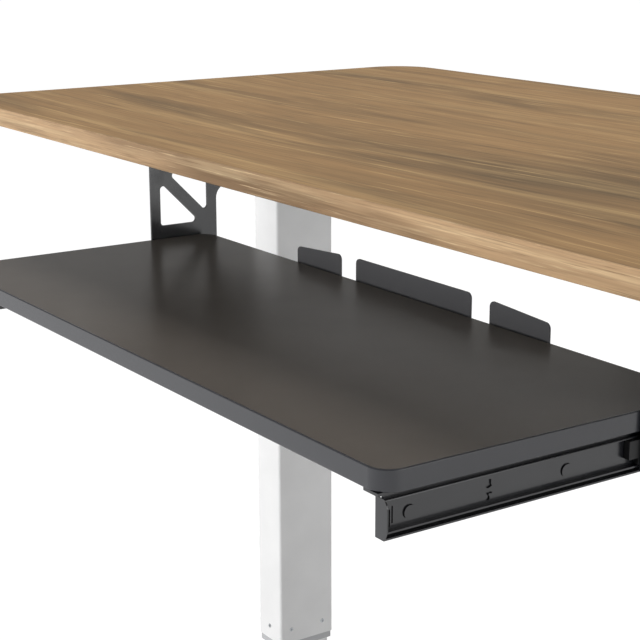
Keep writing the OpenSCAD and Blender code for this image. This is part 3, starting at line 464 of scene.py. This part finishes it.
def cad_shape(node):
    """A CAD node's mesh with its loose triangles merged and its flat faces joined."""
    bm = bmesh.new()
    bm.from_mesh(frame["nodes"][node].data)
    bmesh.ops.remove_doubles(bm, verts=bm.verts, dist=MERGE)
    bmesh.ops.dissolve_limit(bm, angle_limit=FLAT, verts=bm.verts, edges=bm.edges)
    return bm


def round_off(bm, radius, segments=2, chosen=None):
    """Rounds the sharp edges of a mesh, or those of them that are chosen."""
    edges = [e for e in bm.edges if len(e.link_faces) == 2
             and e.calc_face_angle(0) > BEVEL_ANGLE
             and (chosen is None or chosen(e))]
    bmesh.ops.bevel(bm, geom=edges, offset=radius, offset_type="OFFSET", segments=segments,
                    profile=0.5, affect="EDGES", clamp_overlap=True, material=-1)
    return bm


def middle(edge):
    """Middle of an edge."""
    return (edge.verts[0].co + edge.verts[1].co) / 2


def piece(name, bm, body, slot, stands_for=(), finish=None):
    """Makes an object of a mesh, on a CAD body, with the finish of a slot or another one."""
    for edge in bm.edges:
        if len(edge.link_faces) == 2 and edge.calc_face_angle(0) > SHARP_ANGLE:
            edge.smooth = False
    for face in bm.faces:
        face.smooth = True
    mesh = bpy.data.meshes.new(name)
    bm.to_mesh(mesh)
    bm.free()
    obj = bpy.data.objects.new(name, mesh)
    bpy.context.scene.collection.objects.link(obj)
    mesh.materials.append(finish_for(finish or slot))
    normals = obj.modifiers.new("Flat faces stay flat", "WEIGHTED_NORMAL")
    normals.keep_sharp = True
    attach(obj, body)
    if stands_for:
        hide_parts(*stands_for)
    return obj


def body_of(node):
    """The CAD body that a node rides on."""
    return frame["nodes"][node]["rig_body"]


def slot_of(node):
    """The record's material slot of a node."""
    return next(s["material_slot"] for s in frame["record"]["subparts"] if s["node"] == node)


def soften(node, radius, segments=2, chosen=None, wide=None, wide_radius=0, finish=None):
    """Stands a copy with rounded edges in for a CAD node."""
    bm = cad_shape(node)
    if wide is not None:
        round_off(bm, wide_radius, 4, wide)
    round_off(bm, radius, segments, chosen)
    return piece(node + "_finished", bm, body_of(node), slot_of(node), [node], finish)


def soften_band(node, radius):
    """Rounds an edge band's outer arrises and leaves its inner side on the board."""
    mid = centre(node)

    def outside(edge):
        return any(abs(f.normal.z) < 0.5 and f.normal.dot(middle(edge) - mid) > 0
                   for f in edge.link_faces)
    return soften(node, radius, 3, outside)


def dress(*nodes):
    """Gives CAD nodes the finish of their slot."""
    for node in nodes:
        mesh = frame["nodes"][node].data
        mesh.materials.clear()
        mesh.materials.append(finish_for(slot_of(node)))


def solids(node):
    """Lowest and highest corner of each separate solid of a CAD node."""
    bm = cad_shape(node)
    left, found = set(bm.verts), []
    while left:
        front = [left.pop()]
        group = list(front)
        while front:
            for edge in front.pop().link_edges:
                for vert in edge.verts:
                    if vert in left:
                        left.remove(vert)
                        front.append(vert)
                        group.append(vert)
        low = Vector([min(v.co[i] for v in group) for i in range(3)])
        high = Vector([max(v.co[i] for v in group) for i in range(3)])
        found.append((low, high))
    bm.free()
    return found


def revolve(profile, steps=24):
    """A mesh turned about Z from points (radius, height)."""
    bm = bmesh.new()
    verts = [bm.verts.new((r, 0, z)) for r, z in profile]
    edges = [bm.edges.new(pair) for pair in zip(verts, verts[1:])]
    bmesh.ops.spin(bm, geom=verts + edges, axis=(0, 0, 1), cent=(0, 0, 0),
                   angle=2 * math.pi, steps=steps, use_merge=True)
    bmesh.ops.remove_doubles(bm, verts=bm.verts, dist=0.001 * MM)
    return bm


def rim_edges(bm):
    """Edges round the openings of a mesh."""
    return [e for e in bm.edges if len(e.link_faces) == 1]


def screw(head_r, head_h, shank_r, length, recess):
    """A screw along +Z: its head lies below z = 0, with a cross or a hexagon pressed in."""
    edge = 0.3 * head_h
    bm = revolve([(0, length), (0.55 * shank_r, length - 0.3 * shank_r),
                  (shank_r, length - 1.6 * shank_r), (shank_r, 0), (head_r, 0),
                  (head_r, -0.4 * head_h), (head_r - 0.4 * edge, -0.75 * head_h),
                  (head_r - 1.6 * edge, -head_h), (0.72 * head_r, -head_h)])
    count = 12 if recess == CROSS else 6
    made = bmesh.ops.create_circle(bm, segments=count, radius=0.5 * head_r)["verts"]
    if recess == CROSS:
        turn = Matrix.Rotation(math.radians(15), 3, "Z")
        bmesh.ops.transform(bm, matrix=turn.to_4x4(), verts=made)
        inner = [v for v in made if abs(abs(v.co.x) - abs(v.co.y)) < 0.05 * head_r]
        bmesh.ops.scale(bm, vec=(0.38, 0.38, 1), verts=inner)
    bmesh.ops.translate(bm, vec=(0, 0, -head_h), verts=made)
    bmesh.ops.bridge_loops(bm, edges=rim_edges(bm) + [
        e for e in bm.edges if not e.link_faces])
    rim = rim_edges(bm)
    pushed = bmesh.ops.extrude_edge_only(bm, edges=rim)["geom"]
    deep = [g for g in pushed if isinstance(g, bmesh.types.BMVert)]
    bmesh.ops.translate(bm, vec=(0, 0, 0.6 * head_h), verts=deep)
    bmesh.ops.edgeloop_fill(bm, edges=[g for g in pushed
                                       if isinstance(g, bmesh.types.BMEdge)])
    bmesh.ops.recalc_face_normals(bm, faces=bm.faces)
    return bm


def hex_nut(across, high):
    """Hexagon nut from z = 0 up, with the turned corners of a pressed nut."""
    bm = bmesh.new()
    corner = across / 1.732
    bmesh.ops.create_cone(bm, cap_ends=True, segments=6, radius1=corner,
                          radius2=corner, depth=high)
    bmesh.ops.translate(bm, vec=(0, 0, high / 2), verts=bm.verts)
    return round_off(bm, NUT_ARRIS, 2, lambda e: abs(e.verts[0].co.z - e.verts[1].co.z) < MM)


def copies(unit, places):
    """One mesh with a copy of a unit at each place."""
    mesh = bpy.data.meshes.new("unit")
    unit.to_mesh(mesh)
    unit.free()
    bm = bmesh.new()
    for place in places:
        before = len(bm.verts)
        bm.from_mesh(mesh)
        bm.verts.ensure_lookup_table()
        bmesh.ops.transform(bm, matrix=place, verts=bm.verts[before:])
    bpy.data.meshes.remove(mesh)
    return bm


def at(x, y, z, turn=0.0, axis="Y"):
    """A place: a turn about an axis, in degrees, and then a shift."""
    return Matrix.Translation((x, y, z)) @ Matrix.Rotation(math.radians(turn), 4, axis)


def upright_screws(node, head_h):
    """Places of the screws of a node that point up from under a board."""
    return [at((lo.x + hi.x) / 2, (lo.y + hi.y) / 2, lo.z + head_h) for lo, hi in solids(node)]


def joined(meshes):
    """One mesh made of several."""
    bm = bmesh.new()
    for part in meshes:
        mesh = bpy.data.meshes.new("part")
        part.to_mesh(mesh)
        part.free()
        bm.from_mesh(mesh)
        bpy.data.meshes.remove(mesh)
    return bm


def centre(node):
    """Middle of a CAD node's box."""
    low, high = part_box(node)
    return (low + high) / 2


# ---- operators: one for each group of pieces ----

class DESK_OT_desktop(bpy.types.Operator):
    """Lay the oak laminate on the desktop and round the arrises of its edge band"""
    bl_idname = "desk.desktop"
    bl_label = "Desktop"

    def execute(self, context):
        dress("desktop")
        board = frame["nodes"]["desktop"].data
        # The board's underside has a backing sheet.
        board.materials.append(finish_for("backing_sheet"))
        for face in board.polygons:
            face.material_index = 1 if face.normal.z < -0.9 else 0
        soften_band("desktop_edging", context.scene.desk_sizes.board_arris)
        return {"FINISHED"}


class DESK_OT_tray(bpy.types.Operator):
    """Lay the black laminate on the tray and round the arrises of its edge band"""
    bl_idname = "desk.tray"
    bl_label = "Keyboard tray"

    def execute(self, context):
        dress("tray_board")
        soften_band("tray_edging", context.scene.desk_sizes.board_arris)
        return {"FINISHED"}


class DESK_OT_stops(bpy.types.Operator):
    """Break the edges of the stop plates behind the tray"""
    bl_idname = "desk.stops"
    bl_label = "Stop plates"

    def execute(self, context):
        for place in ("left", "middle", "right"):
            # The stops take the lightened copy of the black coat, whose extra lightness is
            # painted light.
            soften("stop_plate_" + place, context.scene.desk_sizes.sheet_arris,
                   finish="grey_powder_coat")
        return {"FINISHED"}


class DESK_OT_rails(bpy.types.Operator):
    """Break the edges of the rails, their angles and the slide blocks in them"""
    bl_idname = "desk.rails"
    bl_label = "Slide rails"

    def execute(self, context):
        for side in SIDES:
            soften("rail_" + side, context.scene.desk_sizes.sheet_arris)
            soften("rail_angle_" + side, context.scene.desk_sizes.sheet_arris)
            soften("slide_block_" + side, NYLON_ARRIS)
        dress("rail_rivets", "block_rivets")
        return {"FINISHED"}


class DESK_OT_brackets(bpy.types.Operator):
    """Break the edges of the truss brackets"""
    bl_idname = "desk.brackets"
    bl_label = "Truss brackets"

    def execute(self, context):
        for side in SIDES:
            soften("truss_bracket_" + side, context.scene.desk_sizes.sheet_arris)
        return {"FINISHED"}


class DESK_OT_columns(bpy.types.Operator):
    """Finish the column tubes, their bushes and the spindles inside"""
    bl_idname = "desk.columns"
    bl_label = "Columns"

    def execute(self, context):
        for side in SIDES:
            soften("outer_column_" + side, TUBE_ARRIS)
            soften("inner_column_" + side, TUBE_ARRIS)
            soften("column_bush_" + side, NYLON_ARRIS)
            dress("spindle_nut_" + side)
            axis = centre("spindle_" + side)
            mesh = frame["nodes"]["spindle_" + side].data
            mesh.materials.clear()
            mesh.materials.append(threaded_steel("desk_spindle_thread_" + side,
                                                 (axis.x, axis.y, 0.0)))
            node = "bush_screws_" + side
            unit = screw(*BUSH_SCREW, BUSH_SCREW_LENGTH, CROSS)
            piece(node + "_finished", copies(unit, self.bush_screw_places(node, side)),
                  body_of(node), "zinc_plated_steel", [node])
        return {"FINISHED"}

    def bush_screw_places(self, node, side):
        """Places of the screws on the four faces of a column, each turned to its face."""
        mid = centre("outer_column_" + side)
        head = BUSH_SCREW[1]
        places = []
        for lo, hi in solids(node):
            c = (lo + hi) / 2
            if abs(c.x - mid.x) > abs(c.y - mid.y) * 0.75:
                face = lo.x + head if c.x < mid.x else hi.x - head
                places.append(at(face, c.y, c.z, 90 if c.x < mid.x else -90))
            else:
                face = lo.y + head if c.y < mid.y else hi.y - head
                places.append(at(c.x, face, c.z, -90 if c.y < mid.y else 90, "X"))
        return places


class DESK_OT_feet(bpy.types.Operator):
    """Round the pressed feet and finish their plates, bolts and levelling pads"""
    bl_idname = "desk.feet"
    bl_label = "Feet"

    def execute(self, context):
        sizes = context.scene.desk_sizes
        for side in SIDES:
            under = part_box("foot_" + side)[0].z

            def top(edge):
                return (edge.is_convex and middle(edge).z > under + 4 * MM
                        and any(f.normal.z > 0.9 for f in edge.link_faces))
            soften("foot_" + side, sizes.sheet_arris, wide=top,
                   wide_radius=sizes.fold_radius)
            soften("base_plate_" + side, PLATE_ARRIS, 3)
            self.levelling_feet(side, under)
            node = "foot_bolts_" + side
            found = solids(node)
            head = M6_BOLT[1]
            long = found[0][1].z - found[0][0].z
            bolt = screw(*M6_BOLT, long - head, HEXAGON)
            heads = [at((lo.x + hi.x) / 2, (lo.y + hi.y) / 2, hi.z - head, 180)
                     for lo, hi in found]
            # The nuts bear on the sheet of the foot from below.
            nuts = [at((lo.x + hi.x) / 2, (lo.y + hi.y) / 2, lo.z + BOLT_END)
                    for lo, hi in found]
            piece(node + "_finished",
                  joined([copies(bolt, heads), copies(hex_nut(*M6_NUT), nuts)]),
                  "base", "zinc_plated_steel", [node])
        return {"FINISHED"}

    def levelling_feet(self, side, under):
        """Nylon pads, each with a steel stud and a jam nut under the foot."""
        node = "levelling_feet_" + side
        found = solids(node)
        places = [at((lo.x + hi.x) / 2, (lo.y + hi.y) / 2, 0) for lo, hi in found]
        wide, top = (found[0][1].x - found[0][0].x) / 2, found[0][1].z
        pad = revolve([(0, 0), (wide - 1.2 * MM, 0), (wide - 0.3 * MM, 0.3 * MM),
                       (wide, 1.2 * MM), (wide, 3.2 * MM), (wide - 0.8 * MM, 4.4 * MM),
                       (0.62 * wide, 6 * MM), (0.5 * wide, PAD_HEIGHT), (0, PAD_HEIGHT)], 40)
        bmesh.ops.recalc_face_normals(pad, faces=pad.faces)
        piece(node + "_finished", copies(pad, places), body_of(node), slot_of(node), [node])
        # The thread is drawn as rings, one for each turn.
        profile = [(0, PAD_HEIGHT - 0.1 * MM)]
        for turn in range(int((top - PAD_HEIGHT) / STUD_PITCH)):
            z = PAD_HEIGHT + turn * STUD_PITCH
            profile += [(STUD_CORE, z), (STUD_RADIUS, z + 0.5 * STUD_PITCH)]
        stud = revolve(profile + [(STUD_CORE, top - 0.1 * MM), (0, top)], 20)
        bmesh.ops.recalc_face_normals(stud, faces=stud.faces)
        nuts = [place @ Matrix.Translation((0, 0, under - M8_NUT[1])) for place in places]
        piece(node + "_studs",
              joined([copies(stud, places), copies(hex_nut(*M8_NUT), nuts)]),
              body_of(node), "zinc_plated_steel")


class DESK_OT_frame(bpy.types.Operator):
    """Round the arms and the crossbeam under the desktop"""
    bl_idname = "desk.frame"
    bl_label = "Top frame"

    def execute(self, context):
        sizes = context.scene.desk_sizes
        for side in SIDES:
            soften("support_arm_" + side, sizes.sheet_arris)
        soften("crossbeam", sizes.sheet_arris)
        return {"FINISHED"}


class DESK_OT_lifting_gear(bpy.types.Operator):
    """Finish the gearboxes, the drive shaft and the motor"""
    bl_idname = "desk.lifting_gear"
    bl_label = "Lifting gear"

    def execute(self, context):
        cast = context.scene.desk_sizes.cast_radius
        for side in SIDES:
            soften("gearbox_" + side, GEARBOX_ARRIS)
        soften("motor_housing", cast, 3)
        soften("motor", cast, 3)
        dress("drive_shaft")
        # Three screws hold the motor's end, in a ring round its cap.
        low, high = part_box("motor")
        radius = (high.z - low.z) / 2
        cap_length, ring_radius = 8 * MM, 22.6 * MM
        ring = [at(low.x + cap_length, low.y + radius + ring_radius * math.cos(a),
                   low.z + radius + ring_radius * math.sin(a), 90)
                for a in (math.radians(t) for t in (30, 150, 270))]
        unit = screw(*MOTOR_SCREW, MOTOR_SCREW_LENGTH, CROSS)
        piece("motor_end_screws", copies(unit, ring), body_of("motor"), "zinc_plated_steel")
        return {"FINISHED"}


class DESK_OT_controls(bpy.types.Operator):
    """Finish the control box and the handset with its two buttons"""
    bl_idname = "desk.controls"
    bl_label = "Control box and handset"

    def execute(self, context):
        soften("control_box", CASE_ARRIS, 3)
        soften("handset", CASE_ARRIS, 3)
        for node, turn in (("button_up", 0), ("button_down", 180)):
            soften(node, BUTTON_ARRIS, 3)
            low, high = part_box(node)
            # A triangle that points up or down stands 0.2 mm out of the button.
            mark = bmesh.new()
            bmesh.ops.create_cone(mark, cap_ends=True, segments=3, radius1=2.6 * MM,
                                  radius2=2.3 * MM, depth=0.3 * MM)
            place = at((low.x + high.x) / 2, low.y - 0.05 * MM, (low.z + high.z) / 2, 90, "X")
            bmesh.ops.transform(mark, matrix=place @ at(0, 0, 0, turn, "Z"), verts=mark.verts)
            piece(node + "_arrow", mark, body_of(node), "black_abs")
        return {"FINISHED"}


class DESK_OT_screws(bpy.types.Operator):
    """Press recesses into the heads of the screws and bolts"""
    bl_idname = "desk.screws"
    bl_label = "Screws and bolts"

    def execute(self, context):
        head = WOOD_SCREW[1]
        for node in ("stop_screws", "angle_screws", "truss_screws", "arm_screws",
                     "box_screws", "handset_screws"):
            low, high = solids(node)[0]
            unit = screw(*WOOD_SCREW, high.z - low.z - head, CROSS)
            piece(node + "_finished", copies(unit, upright_screws(node, head)),
                  body_of(node), slot_of(node), [node])
        head = M6_BOLT[1]
        for node in ("gearbox_bolts", "housing_bolts"):
            made = [copies(screw(*M6_BOLT, long * MM - head, HEXAGON), places)
                    for long, places in self.bolts_by_length(node, head).items()]
            piece(node + "_finished", joined(made), body_of(node), slot_of(node), [node])
        return {"FINISHED"}

    def bolts_by_length(self, node, head):
        """Places of the bolts along X for each length in millimetres. Their heads lie on
        the side away from the column."""
        groups = {}
        for lo, hi in solids(node):
            column = centre("outer_column_left" if lo.x < 0 else "outer_column_right").x
            mid = (lo + hi) / 2
            if mid.x < column:
                place = at(lo.x + head, mid.y, mid.z, 90)
            else:
                place = at(hi.x - head, mid.y, mid.z, -90)
            groups.setdefault(round((hi.x - lo.x) / MM, 1), []).append(place)
        return groups


class DESK_OT_stage(bpy.types.Operator):
    """Set up the floor, the lamps, the sky and the camera"""
    bl_idname = "desk.stage"
    bl_label = "Stage"

    def execute(self, context):
        scene = context.scene
        settings = scene.desk_stage
        scene.view_settings.view_transform = "Standard"

        bm = bmesh.new()
        bmesh.ops.create_grid(bm, x_segments=1, y_segments=1, size=FLOOR_REACH)
        mesh = bpy.data.meshes.new("floor")
        bm.to_mesh(mesh)
        bm.free()
        floor = bpy.data.objects.new("floor", mesh)
        scene.collection.objects.link(floor)
        mesh.materials.append(self.pale_floor())
        self.sky(scene, settings.sky)

        for name, (size, place) in LAMPS.items():
            lamp = bpy.data.lights.new(name, "AREA")
            lamp.shape = "RECTANGLE"
            lamp.size, lamp.size_y = size
            lamp.energy = getattr(settings, name)
            obj = bpy.data.objects.new(name, lamp)
            scene.collection.objects.link(obj)
            obj.location = place
            # The fill alone is mirrored in the gloss. The others are bright and would glare.
            obj.visible_glossy = name == "fill"
            obj.rotation_mode = "QUATERNION"
            aim = Vector(LAMP_AIM) - obj.location
            obj.rotation_quaternion = aim.to_track_quat("-Z", "Y")

        data = bpy.data.cameras.new("camera")
        data.lens = settings.lens
        data.sensor_width = SENSOR_WIDTH
        data.clip_start, data.clip_end = 0.05, 100
        camera = bpy.data.objects.new("camera", data)
        scene.collection.objects.link(camera)
        camera.location = CAMERA_PLACE
        a, e = settings.azimuth, settings.elevation
        ahead = Vector((-math.sin(a) * math.cos(e), math.cos(a) * math.cos(e), -math.sin(e)))
        roll = Matrix.Rotation(settings.roll, 3, "Z").to_quaternion()
        camera.rotation_mode = "QUATERNION"
        camera.rotation_quaternion = ahead.to_track_quat("-Z", "Y") @ roll
        scene.camera = camera
        return {"FINISHED"}

    def seen(self, tree):
        """1 for rays from the camera, off a gloss or through glass, and 0 for the rest."""
        ray = add(tree, "ShaderNodeLightPath")
        bent = add(tree, "ShaderNodeMath", {0: ray.outputs["Is Glossy Ray"],
                                            1: ray.outputs["Is Transmission Ray"]},
                   operation="MAXIMUM")
        return add(tree, "ShaderNodeMath", {0: ray.outputs["Is Camera Ray"],
                                            1: bent.outputs[0]},
                   operation="MAXIMUM").outputs[0]

    def pale_floor(self):
        """White floor: it is seen near white, with the desk's shadow, and lights the desk
        as a plain pale floor."""
        material = bpy.data.materials.new("pale_floor")
        material.use_nodes = True
        tree = material.node_tree
        tree.nodes.clear()
        plain = add(tree, "ShaderNodeBsdfDiffuse", {"Color": (*linear(FLOOR_COLOUR), 1)})
        shadow = add(tree, "ShaderNodeBsdfDiffuse", {"Color": (*[FLOOR_SHADE] * 3, 1)})
        glow = add(tree, "ShaderNodeEmission", {"Color": WHITE, "Strength": FLOOR_GLOW})
        shown = add(tree, "ShaderNodeAddShader", {0: shadow.outputs[0], 1: glow.outputs[0]})
        mixed = add(tree, "ShaderNodeMixShader", {0: self.seen(tree), 1: plain.outputs[0],
                                                  2: shown.outputs[0]})
        add(tree, "ShaderNodeOutputMaterial", {"Surface": mixed.outputs[0]})
        return material

    def sky(self, scene, strength):
        """Soft pale light from all round: white where it is seen, and dimmer in a gloss."""
        world = bpy.data.worlds.new("sky")
        scene.world = world
        world.use_nodes = True
        tree = world.node_tree
        tree.nodes.clear()
        # The light is stronger from above and from the left than from the right.
        way = add(tree, "ShaderNodeTexCoord").outputs["Generated"]
        lean = add(tree, "ShaderNodeVectorMath", {0: way, 1: SKY_LEAN}, operation="DOT_PRODUCT")
        level = add(tree, "ShaderNodeMath", {0: lean.outputs["Value"], 1: strength,
                                             2: strength}, operation="MULTIPLY_ADD")
        light = add(tree, "ShaderNodeBackground", {"Color": WHITE,
                                                   "Strength": level.outputs[0]})
        # A gloss shows the background too, dimmed as the walls of a studio are.
        ray = add(tree, "ShaderNodeLightPath")
        shown = add(tree, "ShaderNodeMapRange", {"Value": ray.outputs["Is Glossy Ray"],
                                                 "To Min": 1.0, "To Max": SKY_IN_GLOSS})
        white = add(tree, "ShaderNodeBackground", {"Color": WHITE,
                                                   "Strength": shown.outputs[0]})
        mixed = add(tree, "ShaderNodeMixShader", {0: self.seen(tree), 1: light.outputs[0],
                                                  2: white.outputs[0]})
        add(tree, "ShaderNodeOutputWorld", {"Surface": mixed.outputs[0]})


class DESK_PT_panel(bpy.types.Panel):
    """Lists the desk's pieces in the order in which they are made"""
    bl_idname = "DESK_PT_panel"
    bl_label = "Desk"
    bl_space_type = "VIEW_3D"
    bl_region_type = "UI"
    bl_category = "Desk"

    def draw(self, context):
        for operator in OPERATORS:
            self.layout.operator(operator.bl_idname)
        for group in ("desk_colours", "desk_sizes", "desk_stage"):
            settings = getattr(context.scene, group)
            for name in settings.__annotations__:
                self.layout.prop(settings, name)


GROUPS = {"desk_colours": DeskColours, "desk_sizes": DeskSizes, "desk_stage": DeskStage}
OPERATORS = (DESK_OT_desktop, DESK_OT_tray, DESK_OT_stops, DESK_OT_rails, DESK_OT_brackets,
             DESK_OT_columns, DESK_OT_feet, DESK_OT_frame, DESK_OT_lifting_gear,
             DESK_OT_controls, DESK_OT_screws, DESK_OT_stage)


def register():
    for group in GROUPS.values():
        bpy.utils.register_class(group)
    for name, group in GROUPS.items():
        setattr(bpy.types.Scene, name, PointerProperty(type=group))
    for operator in OPERATORS:
        bpy.utils.register_class(operator)
    bpy.utils.register_class(DESK_PT_panel)


def unregister():
    bpy.utils.unregister_class(DESK_PT_panel)
    for operator in reversed(OPERATORS):
        bpy.utils.unregister_class(operator)
    for name, group in GROUPS.items():
        delattr(bpy.types.Scene, name)
        bpy.utils.unregister_class(group)


def main():
    register()
    for operator in OPERATORS:
        group, name = operator.bl_idname.split(".")
        getattr(getattr(bpy.ops, group), name)()


if __name__ == "__main__":
    main()
